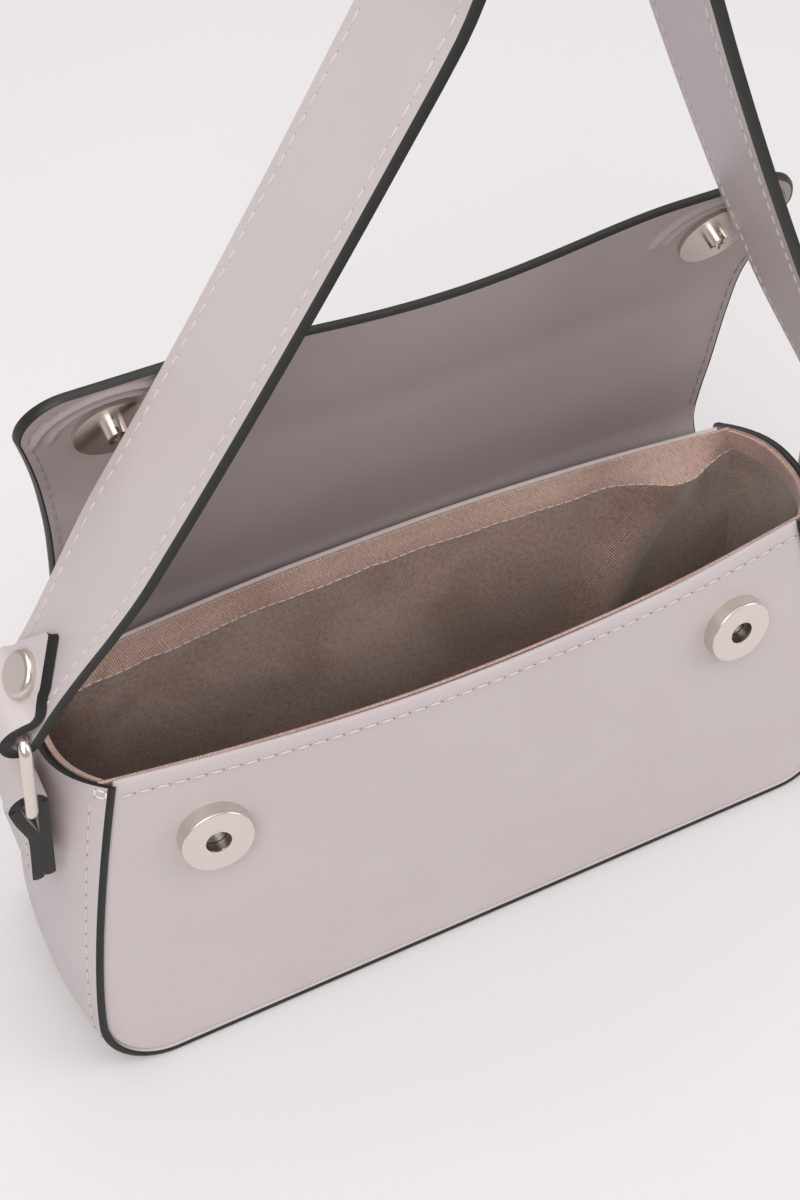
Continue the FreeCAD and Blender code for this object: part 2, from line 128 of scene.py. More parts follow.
def woven(name, colour, thread, pitch, slant, sheen):
    # woven cloth: slanted ribs of the weave, broken into short painted glints and brighter in soft patches of
    # painted sheen; thread is the colour of the glints. Real ribs are about half as wide, and are drawn coarser
    # here so that they show.
    patchSize = 32 * mm
    mat, tree, shader = newMaterial(name, colour, 0.62, specular=0.35)
    shader.inputs["Sheen Weight"].default_value = sheen
    shader.inputs["Sheen Roughness"].default_value = 0.4
    place = addNode(tree, "ShaderNodeTexCoord")
    turned = addNode(tree, "ShaderNodeMapping", {"Rotation": (0.0, 0.0, slant)}, {"Vector": place.outputs["UV"]})
    rib = addNode(tree, "ShaderNodeTexWave", {"Scale": math.pi / (10.0 * pitch), "Distortion": 2.4, "Detail": 1.0},
                  {"Vector": turned.outputs["Vector"]})
    drawn = addNode(tree, "ShaderNodeMapping", {"Scale": (1.0, 0.4, 1.0)}, {"Vector": turned.outputs["Vector"]})
    glint = addNode(tree, "ShaderNodeTexNoise", {"Scale": 0.9 / pitch, "Detail": 2.0},
                    {"Vector": drawn.outputs["Vector"]})
    patch = addNode(tree, "ShaderNodeTexNoise", {"Scale": 1.0 / patchSize, "Detail": 2.0, "Distortion": 0.6},
                    {"Vector": turned.outputs["Vector"]})
    sheened = addNode(tree, "ShaderNodeMapRange", {"From Min": 0.3, "From Max": 0.7, "To Min": 1.1, "To Max": 2.3},
                      {"Value": patch.outputs["Fac"]})
    # the ribs' own pattern, lit by painted glints and painted sheen; it sets the colour and the bump
    level = addNode(tree, "ShaderNodeMath", {"operation": "MULTIPLY"},
                    {0: rib.outputs["Fac"], 1: glint.outputs["Fac"]})
    bright = addNode(tree, "ShaderNodeMath", {"operation": "MULTIPLY", "use_clamp": True},
                     {0: level.outputs["Value"], 1: sheened.outputs["Result"]})
    tint = addNode(tree, "ShaderNodeMix", {"data_type": "RGBA"}, {"Factor": bright.outputs["Value"]})
    tint.inputs[6].default_value = linear(colour)
    tint.inputs[7].default_value = linear(thread)
    bump = addNode(tree, "ShaderNodeBump", {"Strength": 0.5, "Distance": 0.2 * mm},
                   {"Height": bright.outputs["Value"]})
    tree.links.new(tint.outputs[2], shader.inputs["Base Color"])
    tree.links.new(bump.outputs["Normal"], shader.inputs["Normal"])
    return mat


leather = coatedLeather("greige coated leather", "#C4BABA", "#BBB0B0", 0.46)
facing = coatedLeather("greige coated leather, flap facing in painted shade", "#A09492", "#978B89", 0.5)  # the same leather as the outside, darkened as painted shade; a little duller
edgePaint = newMaterial("edge paint, charcoal", "#212220", 0.45, specular=0.35)[0]  # brushed on cuts, half gloss
thread = newMaterial("polyester thread, greige", "#D0C6C4", 0.6)[0]  # bonded sewing thread, soft sheen
facingThreadInShade = newMaterial("polyester thread, greige, in painted shade", "#8F8381", 0.6)[0]  # darkened with the facing's painted shade, to sink into its colour
tackThread = newMaterial("polyester thread, white", "#E9E5E2", 0.6)[0]  # bright beside the black cut
hemThread = newMaterial("cotton thread, pale pink", "#D8C3B8", 0.7)[0]  # spun, matt
holeShade = newMaterial("leather in a needle hole, shaded", "#9B908E", 0.8, specular=0.1)[0]  # painted shade of the hole: matt, no glint
# the lighter colour of each cloth is that of its painted glints and sheen
twill = woven("polyester twill lining, taupe", "#6D5347", "#D3B7AB", 0.6 * mm, math.radians(38.0), 0.4)
hemTape = woven("slub hem cloth, dusty pink", "#8F6E62", "#DFC0B3", 0.55 * mm, math.radians(-30.0), 0.4)
nickel = newMaterial("nickel plated zinc", "#E2D9D2", 0.27, metallic=1.0)[0]  # cast and plated, a satin gleam
magnetInShade = newMaterial("nickel plated magnet, painted shade", "#7C7772", 0.4, metallic=1.0)[0]  # the socket's nickel plating, darkened as painted shade down a socket's hole; duller
paper = newMaterial("matt paper backdrop", "#D4D0D1", 0.9, specular=0.1)[0]  # uncoated, no shine
print("materials ready")


# Closed sheets: a face, a back and a rounded rim between them
leatherEdge = math.radians(38.0)


def dressed(name, verts, faces, slots, mats, uvs=None):
    mesh = bpy.data.meshes.new(name)
    mesh.from_pydata([tuple(v) for v in verts], [], faces)
    for mat in mats:
        mesh.materials.append(mat)
    mesh.polygons.foreach_set("material_index", slots)
    if uvs:
        layer = mesh.uv_layers.new(name="flat")
        for loop in mesh.loops:
            layer.data[loop.index].uv = uvs[loop.vertex_index]
    work = bmesh.new()
    work.from_mesh(mesh)
    bmesh.ops.recalc_face_normals(work, faces=work.faces)
    work.to_mesh(mesh)
    work.free()
    mesh.shade_smooth()
    mesh.set_sharp_from_angle(angle=leatherEdge)
    made = bpy.data.objects.new(name, mesh)
    bpy.context.scene.collection.objects.link(made)
    return made


def sheetPiece(name, face, back, mats, dome=0.0, rimSlots=(2, 2, 2, 2), slotAt=None, rounds=4):
    # face and back are rows of points; mats are those of the face, the back and the rim
    n = len(face)
    m = len(face[0])
    verts = [p for row in face for p in row] + [p for row in back for p in row]
    across = [0.0]
    down = [0.0]
    for j in range(1, m):
        across.append(across[-1] + (face[n // 2][j] - face[n // 2][j - 1]).length)
    for i in range(1, n):
        down.append(down[-1] + (face[i][m // 2] - face[i - 1][m // 2]).length)
    uvs = [(across[j], down[i]) for i in range(n) for j in range(m)] * 2
    faces = []
    slots = []
    for i in range(n - 1):
        for j in range(m - 1):
            a = i * m + j
            quad = (a, a + m, a + m + 1, a + 1)
            faces += [quad, tuple(n * m + k for k in quad[::-1])]
            slots += slotAt(i, j) if slotAt else [0, 1]
    loop = list(range(m - 1)) + [i * m + m - 1 for i in range(n - 1)]
    loop += [(n - 1) * m + j for j in range(m - 1, 0, -1)] + [i * m for i in range(n - 1, 0, -1)]
    sideOf = [0] * (m - 1) + [1] * (n - 1) + [2] * (m - 1) + [3] * (n - 1)
    middle = sum((verts[k] for k in loop), Vector()) / len(loop)
    rings = [loop]
    turned = 1.0
    for r in range(1, rounds):
        ring = []
        t = r / rounds
        for k, v in enumerate(loop):
            tangent = verts[loop[(k + 1) % len(loop)]] - verts[loop[k - 1]]
            deep = verts[n * m + v] - verts[v]
            out = tangent.cross(deep)
            if out.length:
                out.normalize()
            if r == 1 and k == 0:
                turned = 1.0 if out.dot(verts[v] - middle) > 0 else -1.0
            verts.append(verts[v] + deep * t + out * (turned * dome * math.sin(math.pi * t)))
            uvs.append(uvs[v])
            ring.append(len(verts) - 1)
        rings.append(ring)
    rings.append([n * m + v for v in loop])
    for low, high in zip(rings, rings[1:]):
        for k in range(len(loop)):
            after = (k + 1) % len(loop)
            faces.append((low[k], low[after], high[after], high[k]))
            slots.append(rimSlots[sideOf[k]])
    return dressed(name, verts, faces, slots, mats, uvs)


# Body of the bag

body = {
    "height": 94 * mm, "topHalf": 94 * mm, "wideHalf": 110.5 * mm, "corner": 18 * mm, "taper": 1.35,
    "baseHalf": 33 * mm, "frontTop": -14 * mm, "backTop": 26 * mm, "frontDip": 2.5 * mm, "dipFrom": 0.45,
    "frontBow": 7 * mm, "frontPower": 1.3, "frontRipple": 0.35 * mm, "frontWave": 38 * mm,
    "backBow": 5.5 * mm, "backPower": 1.2, "backRipple": 0.3 * mm, "backWave": 42 * mm,
    "seamEase": 0.15, "footEase": 12 * mm,
    "bulgeTop": 10.5 * mm, "bulgeLow": 4 * mm, "bulgePower": 2.5,
    "gusset": 2 * mm, "gussetDome": 0.35 * mm, "panel": 1.8 * mm, "panelDome": 0.8 * mm, "recess": 0.8 * mm,
    "gap": 0.3 * mm, "lining": 0.8 * mm, "frontSpace": 2 * mm, "backSpace": 0.5 * mm,
    "hem": 10 * mm, "hemStep": 0.6 * mm, "liningRise": 0.7 * mm,
}


def halfWidth(z):
    t = max(0.0, (z - body["corner"]) / (body["height"] - body["corner"]))
    return body["wideHalf"] - (body["wideHalf"] - body["topHalf"]) * t ** body["taper"]


def rightOutline(sides=24, arcs=12):
    # x, z and the outward normal, from the top corner down to where the bottom begins
    found = []
    rise = body["height"] - body["corner"]
    spread = body["wideHalf"] - body["topHalf"]
    for t in steps(sides, 1.0, 0.0):
        slope = spread * body["taper"] * t ** (body["taper"] - 1.0) / rise
        z = body["corner"] + rise * t
        found.append((halfWidth(z), z, 1.0 / math.hypot(1.0, slope), slope / math.hypot(1.0, slope)))
    for a in steps(arcs, 0.0, math.pi / 2.0)[1:]:
        found.append((body["wideHalf"] - body["corner"] * (1.0 - math.cos(a)),
                      body["corner"] * (1.0 - math.sin(a)), math.cos(a), -math.sin(a)))
    return found


def wholeOutline(base=40):
    right = rightOutline()
    left = [(-x, z, -nx, nz) for x, z, nx, nz in right]
    end = right[-1][0]
    floor = [(x, 0.0, 0.0, -1.0) for x in steps(base, -end, end)[1:-1]]
    return left + floor + right[::-1]


def frontY(z):
    return lerp(-body["baseHalf"], body["frontTop"], z / body["height"])


def backY(z):
    return lerp(body["baseHalf"], body["backTop"], z / body["height"])


def sideBulge(z):
    high = max(0.0, (z - body["corner"]) / (body["height"] - body["corner"]))
    return body["bulgeLow"] * min(1.0, z / body["corner"]) + (body["bulgeTop"] - body["bulgeLow"]) * high


def gussetAt(spot, y, depth):
    x, z, nx, nz = spot
    near, far = frontY(z), backY(z)
    swell = sideBulge(z) * (1.0 - abs(2.0 * (y - near) / (far - near) - 1.0) ** body["bulgePower"])
    return Vector((x - nx * depth + math.copysign(swell, x), y, z - nz * depth))


def gussetPoint(spot, v, depth, trim=0.0):
    # v runs from the front seam to the back seam
    return gussetAt(spot, lerp(frontY(spot[1]) + trim, backY(spot[1]) - trim, v), depth)


def gussetRow(spot, depth, trim=0.0, count=20):
    return [gussetPoint(spot, v, depth, trim) for v in steps(count)]


outline = wholeOutline()
gusset = sheetPiece("gusset", [gussetRow(s, 0.0) for s in outline], [gussetRow(s, body["gusset"]) for s in outline],
                    [leather, leather, edgePaint], dome=body["gussetDome"])
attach(gusset, "bag")
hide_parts("gusset_strip")

snap = {"x": 72.5 * mm, "z": 70.5 * mm, "dent": 0.35 * mm, "reach": 16 * mm}


def slack(u, z):
    # the leather lies flat beside its seams
    return min(1.0, (1.0 - abs(u)) / body["seamEase"]) * min(1.0, z / body["footEase"])


def frontFace(x, z, seamZ):
    u = x / halfWidth(seamZ)
    bow = body["frontBow"] * (z / body["height"]) ** body["frontPower"] * (1.0 - u * u)
    away = min(math.hypot(x - s * snap["x"], z - snap["z"]) for s in (-1, 1))
    pull = snap["dent"] * math.exp(-(away / snap["reach"]) ** 2)
    uneven = body["frontRipple"] * slack(u, z) * ripple((x, 0.0, z), body["frontWave"], seed=3.0)
    return frontY(seamZ) + body["recess"] - bow + pull + uneven


def backFace(x, z, seamZ):
    u = x / halfWidth(seamZ)
    bow = body["backBow"] * (z / body["height"]) ** body["backPower"] * (1.0 - u * u)
    uneven = body["backRipple"] * slack(u, z) * ripple((x, 0.0, z), body["backWave"], seed=7.0)
    return backY(seamZ) - body["recess"] + bow + uneven


def frontDrop(x, z):
    # the middle of the front rim sinks a little
    u = x / halfWidth(min(z, body["height"]))
    high = (z / body["height"] - body["dipFrom"]) / (1.0 - body["dipFrom"])
    return body["frontDip"] * max(0.0, 1.0 - u * u) * ease(high)


def level(x, z):
    return 0.0


def panelRows(inset, rise=0.0):
    # half width, height and the height of the seam beside it, from the bottom up
    rows = [(x - nx * inset, z - nz * inset, z) for x, z, nx, nz in rightOutline()][::-1]
    if rise:
        rows.append((rows[-1][0], rows[-1][1] + rise, rows[-1][2]))
    return rows


def panelSkin(face, drop, inset, depth, across=60):
    return [[Vector((u * x, face(u * x, z, seamZ) + depth, z - drop(u * x, z))) for u in steps(across, -1.0, 1.0)]
            for x, z, seamZ in panelRows(inset)]


def panelPiece(name, face, drop, sign):
    inset = body["gusset"] + body["gap"]
    return sheetPiece(name, panelSkin(face, drop, inset, 0.0), panelSkin(face, drop, inset, sign * body["panel"]),
                      [leather, leather, leather], dome=body["panelDome"], rounds=8)


frontPanel = panelPiece("frontPanel", frontFace, frontDrop, 1.0)
backPanel = panelPiece("backPanel", backFace, level, -1.0)
for piece, node in ((frontPanel, "front_panel"), (backPanel, "back_panel")):
    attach(piece, "bag")
    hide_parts(node)
print("shell ready")


# Lining: three pieces of twill, each with a folded hem round the mouth. It hangs in soft folds, with fine
# creases bunched near the ends and one deeper fold at the right of the back.
lining = {
    "rim": 9 * mm, "rimGap": 0.1 * mm, "lap": 0.6, "footEase": 40 * mm, "seamEase": 0.08, "dome": 0.2 * mm,
    "fold": 1.2 * mm, "foldSize": 26 * mm, "sway": 0.8 * mm, "swaySize": 14 * mm,
    "crease": 0.2 * mm, "creaseSize": 8 * mm, "bunch": 0.7 * mm, "bunchFrom": 0.7, "bunchRun": 0.15,
    "deepFold": 6 * mm, "deepAt": 76 * mm, "deepWide": 9 * mm, "deepLean": 0.25,
    "gather": 0.3 * mm, "gatherSize": 5 * mm, "gatherEase": 3 * mm, "sewnLift": 0.1 * mm,
    "sideFold": 0.6 * mm, "sideSize": 13 * mm,
}
hemLines = []  # where the hems are sewn down


def hemAt(rows):
    top = body["height"] + body["liningRise"] - body["hem"]
    return [1.0 if z >= top else 0.0 for z in rows]


def liningPanel(name, face, drop, sign, space, columns=120):
    inset = 2.0 * body["gap"] + body["gusset"] + body["lining"]
    rows = panelRows(inset, body["liningRise"])
    hemmed = hemAt([z for _, z, _ in rows])
    spots = rightOutline()[::-1]
    spots.append(spots[-1])

    def skin(extra):
        made = []
        for (x, z, seamZ), spot, hem in zip(rows, spots, hemmed):
            # the cloth meets the side lining at its edges and comes up against the leather at the rim
            near = ease((body["height"] - z) / lining["rim"])
            depth = body["panel"] + lerp(lining["rimGap"], space, near)
            seamY = (frontY(seamZ) if sign > 0 else backY(seamZ)) + sign * (body["recess"] + depth + body["lining"])
            wide = gussetAt(spot, seamY, body["gusset"] + body["gap"] + lining["lap"] * body["lining"]).x
            low = ease(z / lining["footEase"])
            deepAt = lining["deepAt"] - lining["deepLean"] * (body["height"] - z)
            thick = body["lining"] + hem * body["hemStep"] * near
            line = []
            for u in steps(columns, -1.0, 1.0):
                loose = near * min(1.0, (1.0 - abs(u)) / lining["seamEase"])
                # the waves are drawn out downwards
                end = ease((abs(u) - lining["bunchFrom"]) / lining["bunchRun"])
                bunched = lining["crease"] + lining["bunch"] * end
                fold = lining["fold"] * (1.0 + ripple((u * x, 0.0, 0.45 * z), lining["foldSize"], seed=11.0))
                fold += bunched * (1.0 + ripple((u * x, 0.0, 0.6 * z), lining["creaseSize"], seed=5.0))
                if sign < 0:
                    fold += lining["deepFold"] * low * math.exp(-((u * x - deepAt) / lining["deepWide"]) ** 2)
                gather = lining["gather"] * hem * ease((body["height"] - z) / lining["gatherEase"])
                gather *= 1.0 + ripple((u * x, 0.0, 0.2 * z), lining["gatherSize"], seed=9.0)
                y = face(u * x, z, seamZ) + sign * (depth + loose * fold + gather + extra * thick)
                sway = loose * low * lining["sway"] * ripple((u * x, 0.0, 0.0), lining["swaySize"], seed=2.0)
                line.append(Vector((u * wide, y, z - drop(u * x, z) + sway)))
            made.append(line)
        return made

    def slotAt(i, j):
        return [1, 1] if hemmed[i] else [0, 0]

    inner = skin(1.0)
    hemLines.append([p + Vector((0.0, sign * lining["sewnLift"], 0.0)) for p in inner[hemmed.index(1.0)]])
    return sheetPiece(name, inner, skin(0.0), [twill, hemTape], dome=lining["dome"],
                      rimSlots=(0, 0, 1, 0), slotAt=slotAt)


def liningGusset(count=24, eased=4.0):
    inset = body["gusset"] + body["gap"]
    trim = body["recess"] + body["panel"] + body["gap"]
    run = list(outline)
    for k, end in ((0, run[0]), (len(run), run[-1])):
        run.insert(k, (end[0], end[1] + body["liningRise"], end[2], end[3]))
    hemmed = hemAt([z for _, z, _, _ in run])
    spots = [(x, min(z, body["height"]), nx, nz) for x, z, nx, nz in run]

    def skin(extra):
        made = []
        for spot, (x, z, _, _), hem in zip(spots, run, hemmed):
            row = gussetRow(spot, inset + extra * (body["lining"] + hem * body["hemStep"]), trim, count)
            upright = ease((body["height"] - z) / lining["rim"]) * abs(spot[2])
            line = []
            for k, p in enumerate(row):
                loose = upright * min(1.0, k / eased, (count - k) / eased)
                uneven = 1.0 + ripple((p.x, p.y, 0.6 * p.z), lining["sideSize"], seed=8.0)
                fold = loose * lining["sideFold"] * uneven
                line.append(p + Vector((-math.copysign(fold, x), 0.0, z - spot[1])))
            made.append(line)
        return made

    def slotAt(i, j):
        return [1, 1] if hemmed[i] and hemmed[i + 1] else [0, 0]

    return sheetPiece("gussetLining", skin(1.0), skin(0.0), [twill, hemTape], dome=lining["dome"],
                      rimSlots=(1, 0, 1, 0), slotAt=slotAt)


frontLining = liningPanel("frontLining", frontFace, frontDrop, 1.0, body["frontSpace"])
backLining = liningPanel("backLining", backFace, level, -1.0, body["backSpace"])
sideLining = liningGusset()
for piece, node in ((frontLining, "lining_front"), (backLining, "lining_back"), (sideLining, "lining_gusset")):
    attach(piece, "bag")
    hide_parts(node)
print("lining ready")


# Flap. x runs along the bag and r from the hinge to the free edge; depth 0 is the outer face and
# depth 1 the facing. It stands open and leans a little forward over the mouth.
flap = {
    "half": 90 * mm, "flare": 5.5 * mm, "flareFrom": 0.4, "waist": 1.5 * mm, "corner": 11 * mm, "edge": 14 * mm,
    "thick": 2.2 * mm, "outer": 1.2 * mm, "bevel": 0.6 * mm, "dome": 0.3 * mm, "join": 26 * mm, "bend": 10 * mm,
    "curl": math.radians(8.0), "rootDrop": 15 * mm, "rootFlat": 2 * mm, "rootTop": 0.6 * mm, "leafLow": 0.9 * mm,
    "sag": 4 * mm, "sagHalf": 60 * mm, "studFrom": 3 * mm, "studShare": 0.55, "cutShare": 0.995,
    "ridge": 0.95 * mm, "ridgeWide": 1.25 * mm, "ridgeR": ((13.5 * mm, 10.4 * mm), (17 * mm, 12.6 * mm)),
    "ridgeFrom": -1 * mm, "ridgeFade": 4 * mm,
}
hinge = pivots["flap_lift"]
fold = pivots["flap_fold"]
stud = sum(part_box("stud_disc_left"), Vector()) / 2.0
leafUp = fold - hinge
flapTop = math.sqrt(leafUp.length ** 2 - flap["thick"] ** 2)
leanBack = math.atan2(flap["thick"], flapTop)
up1 = Matrix.Rotation(-leanBack, 3, "X") @ leafUp.normalized()
up1.normalize()
inward1 = Vector((0.0, -up1.z, up1.y))
up2 = Matrix.Rotation(flap["curl"], 3, "X") @ up1
inward2 = Vector((0.0, -up2.z, up2.y))
studFromFold = (stud - fold).dot(up2)
flapLength = flapTop + studFromFold + flap["edge"]


def flapHalf(r):
    # drawn in at the waist, flared towards the free edge, with round corners
    stop = flapLength - flap["corner"]
    t = max(0.0, min(r, stop) / flapLength - flap["flareFrom"]) / (1.0 - flap["flareFrom"])
    wide = flap["half"] + flap["flare"] * t * t - flap["waist"] * math.sin(math.pi * min(r, stop) / flapLength)
    if r > stop:
        wide -= flap["corner"] - math.sqrt(max(0.0, flap["corner"] ** 2 - (r - stop) ** 2))
    return wide


def flapPoint(x, r, depth):
    # the two leaves run into each other in a soft bend over the fold
    t = max(0.0, r) / flapLength
    sag = flap["sag"] * ease(t) * max(0.0, 1.0 - (x / flap["sagHalf"]) ** 2) ** 2
    thick = lerp(flap["outer"], flap["thick"], ease(r / flap["join"]))
    first = hinge + up1 * r + inward1 * (depth * thick)
    second = fold + up2 * (r - flapTop) + inward2 * ((depth - 1.0) * flap["thick"])
    bent = ease((r - flapTop + flap["bend"]) / (2.0 * flap["bend"]))
    return Vector((x, 0.0, 0.0)) + first.lerp(second, bent) + inward1.lerp(inward2, bent) * sag


def ridgeAt(x, r):
    # two cords pressed through the facing, arched over each stud on the side of the free edge
    best = 0.0
    dr = r - flapTop - studFromFold
    for s in (-1, 1):
        for wide, tall in flap["ridgeR"]:
            away = math.hypot((x - s * snap["x"]) / wide, dr / tall) - 1.0
            best = max(best, math.exp(-(away * tall / (0.5 * flap["ridgeWide"])) ** 2))
    return flap["ridge"] * best * ease((dr - flap["ridgeFrom"]) / flap["ridgeFade"])


def rootPoint(x, s, depth):
    # from the hinge down, the outer leather goes on and is sewn flat on the back panel
    z = hinge.z - s
    sewn = backFace(x, min(z, body["height"]), min(z, body["height"])) + body["gap"]
    straight = hinge.y - flap["outer"]
    high = z - (body["height"] - flap["rootDrop"]) - flap["rootFlat"]
    y = lerp(sewn, straight, ease(high / (flap["rootDrop"] - flap["rootFlat"])))
    return Vector((x, y + (1.0 - depth) * flap["outer"], z))


def flapRow(r, depth, shares):
    # the cut is bevelled: the outer leather is a little wider than the facing
    line = []
    for u in shares:
        x = u * (flapHalf(max(0.0, r)) - depth * flap["bevel"])
        p = rootPoint(x, -r, depth) if r < 0.0 else flapPoint(x, r, depth)
        if depth == 1.0 and r > flap["join"]:
            p += inward2 * ridgeAt(x, r)
        line.append(p)
    return line


rootRows = [-s for s in steps(14, hinge.z - body["height"] + flap["rootDrop"], flap["rootTop"])]
lowRows = rootRows + steps(26, flap["leafLow"], flap["join"])
cornerStart = flapLength - flap["corner"]
cornerRows = [cornerStart + flap["corner"] * math.sin(a) for a in steps(32, 0.0, math.pi / 2.0)[1:]]
studRow = flapTop + studFromFold - flap["studFrom"]
highRows = steps(50, flap["join"], studRow) + steps(14, studRow, cornerStart)[1:] + cornerRows
lowShares = [-1.0] + steps(60, -flap["cutShare"], flap["cutShare"]) + [1.0]
# columns lie closer together over the studs
fineShares = steps(100, flap["studShare"], 1.0)
highShares = [-u for u in fineShares[::-1]] + steps(50, -flap["studShare"], flap["studShare"])[1:-1] + fineShares


def flapPiece(name, rows, shares):
    def slotAt(i, j):
        # the paint of the side cuts laps over the facing
        return [0, 2 if j in (0, len(shares) - 2) and rows[i] > 0.0 else 1]

    return sheetPiece(name, [flapRow(r, 0.0, shares) for r in rows], [flapRow(r, 1.0, shares) for r in rows],
                      [leather, facing, edgePaint], dome=flap["dome"], slotAt=slotAt)


flapLow = flapPiece("flapLower", lowRows, lowShares)
flapHigh = flapPiece("flapUpper", highRows, highShares)
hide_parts("flap_root", "flap_top_outer", "flap_top_facing")
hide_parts("flap_front_outer", "flap_front_facing")
print("flap ready")


# Ring tabs: a folded strip sewn to the gusset, looped over the ring's lower bar
tab = {
    "thick": 2.8 * mm, "wire": 1.45 * mm, "run": 0.3 * mm, "footZ": 70 * mm, "grip": 11 * mm, "width": 21.5 * mm,
    "dome": 0.3 * mm, "belly": (-0.8 * mm, -4.5 * mm), "pinch": (0.6 * mm, 2 * mm), "toe": (0.1 * mm, -0.4 * mm),
    "seamBelow": 6 * mm,
}


def across(points, i):
    # square to a line drawn in x and z
    along = points[min(i + 1, len(points) - 1)] - points[max(i - 1, 0)]
    return Vector((-along.z, 0.0, along.x)).normalized()


def thickRun(points, half, y, thick, count=10):
    # a strip of leather along points in a plane of constant y: its face and its back
    face, back = [], []
    for i, p in enumerate(points):
        off = across(points, i) * (thick / 2.0)
        wide = half(i) if callable(half) else half
        line = [Vector((p.x, y + v * wide, p.z)) for v in steps(count, -1.0, 1.0)]
        face.append([spot + off for spot in line])
        back.append([spot - off for spot in line])
    return face, back


def through(points, each=6):
    # a smooth line through the points
    made = []
    for i in range(len(points) - 1):
        a, b, c, d = (points[max(0, min(len(points) - 1, i + k))] for k in (-1, 0, 1, 2))
        for t in steps(each)[:-1]:
            made.append(0.5 * (2.0 * b + (c - a) * t + (2.0 * a - 5.0 * b + 4.0 * c - d) * t * t
                               + (3.0 * b - a - 3.0 * c + d) * t ** 3))
    return made + [points[-1]]


def tabPath(side):
    # up against the gusset, over the bar and down outside
    bar = pivots["right_ring_swing" if side > 0 else "left_ring_swing"]
    half = tab["thick"] / 2.0
    r = tab["wire"] + tab["run"] + half
    barX = abs(bar.x)
    footX = halfWidth(tab["footZ"]) + sideBulge(tab["footZ"]) + body["gap"]
    gripZ = bar.z - tab["grip"]
    inner = barX - r - half
    gripX = lerp(footX, inner, (gripZ - tab["footZ"]) / (bar.z - tab["footZ"]))
    spots = [(footX + half, tab["footZ"]), (gripX + half, gripZ), (barX - r, bar.z)]
    spots += [(barX - r * math.cos(a), bar.z + r * math.sin(a)) for a in steps(8, 0.0, math.pi)[1:]]
    bellyX, bellyZ = tab["belly"]
    pinchX, pinchZ = tab["pinch"]
    toeX, toeZ = tab["toe"]
    spots += [(barX + r + bellyX, bar.z + bellyZ), (gripX + 3.0 * half + pinchX, gripZ + pinchZ),
              (gripX + 3.0 * half, gripZ - pinchZ), (footX + 3.0 * half + toeX, tab["footZ"] + toeZ)]
    return through([Vector((side * x, 0.0, z)) for x, z in spots])


strapY = pivots["strap_swing"].y
for side, name in ((-1, "left"), (1, "right")):
    face, back = thickRun(tabPath(side), tab["width"] / 2.0, strapY, tab["thick"])
    ringTab = sheetPiece("ringTab" + name.title(), face, back, [leather, leather, edgePaint], dome=tab["dome"])
    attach(ringTab, "bag")
    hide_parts("ring_tab_" + name)
print("tabs ready")


# Strap: one strip from tail to tail. Each end goes under its ring's upper bar and back up outside.
strap = {
    "width": 29.5 * mm, "endWidth": 21.5 * mm, "taper": 45 * mm, "thick": 2.6 * mm, "dome": 0.3 * mm,
    "apex": Vector((10 * mm, 0.0, 288 * mm)), "apexR": 24 * mm, "sag": 2 * mm, "start": 6 * mm,
    "tail": 21.5 * mm, "point": 9 * mm, "tailWidth": 14 * mm, "tip": 1 * mm,
    "tailRows": [11 * mm, 9.5 * mm, 7.5 * mm], "tailBend": ((5.5 * mm, 0.15), (3.8 * mm, 0.5), (2 * mm, 0.85)),
    "wire": 1.45 * mm, "run": 0.9 * mm, "lap": 0.3 * mm, "seamFrom": 18,
    "crown": ((-0.62, 0.22), (0.0, 0.0), (0.62, 0.22)),
}


def ringBar(side):
    bar = pivots["strap_swing"]
    return Vector((side * abs(bar.x), 0.0, bar.z))


def tailHalf(s):
    corner = strap["tail"] - strap["point"]
    if s > corner:
        return lerp(strap["tailWidth"], strap["tip"], (s - corner) / strap["point"]) / 2.0
    along = ease((s - strap["start"]) / (corner - strap["start"]))
    return lerp(strap["endWidth"], strap["tailWidth"], along) / 2.0


def legHalf(s):
    return lerp(strap["endWidth"], strap["width"], ease((s - strap["start"]) / strap["taper"])) / 2.0


def strapEnd(side, rows=12, crowd=1.6):
    # points of the middle line in x and z, with half the strap's width as y
    turnR = strap["wire"] + strap["run"] + strap["thick"] / 2.0
    lap = strap["thick"] + strap["lap"]
    pivot = ringBar(side)
    shoulder = strap["apex"] + Vector((side * strap["apexR"], 0.0, -strap["apexR"]))
    along = (shoulder - pivot).normalized()
    # the leg's first point and its direction settle each other
    for _ in range(5):
        out = Vector((side * along.z, 0.0, -side * along.x))
        first = pivot - out * turnR + along * strap["start"]
        chord = shoulder - first
        lean = math.atan2(4.0 * strap["sag"], chord.length)
        along = (Matrix.Rotation(-side * lean, 3, "Y") @ chord).normalized()
    inward = chord.cross(Vector((0.0, side, 0.0))).normalized()

    def tail(s):
        return lap - turnR + 4.0 * strap["sag"] * ((s - strap["start"]) / chord.length) ** 2

    def wide(half):
        return Vector((0.0, half, 0.0))

    corner = strap["tail"] - strap["point"]
    spots = []
    for s in steps(4, strap["tail"], corner) + strap["tailRows"]:
        spots.append(pivot + along * s + out * tail(s) + wide(tailHalf(s)))
    for s, w in strap["tailBend"]:
        spots.append(pivot + along * s + out * lerp(tail(s), turnR, w) + wide(tailHalf(s)))
    for a in steps(9, 0.0, math.pi):
        spots.append(pivot + out * (turnR * math.cos(a)) - along * (turnR * math.sin(a)) + wide(legHalf(0.0)))
    spots.append(pivot - out * turnR + along * strap["start"] / 3.0 + wide(legHalf(0.0)))
    for i in range(rows):
        t = (i / rows) ** crowd
        spots.append(first + chord * t + inward * (strap["sag"] * 4.0 * t * (1.0 - t))
                     + wide(legHalf(strap["start"] + chord.length * t)))
    spots.append(shoulder + wide(strap["width"] / 2.0))
    return spots


crown = [strap["apex"] + Vector((x * strap["apexR"], strap["width"] / 2.0, -z * strap["apexR"]))
         for x, z in strap["crown"]]
strapLine = through(strapEnd(-1) + crown + strapEnd(1)[::-1])


def strapHalf(i):
    return strapLine[i].y


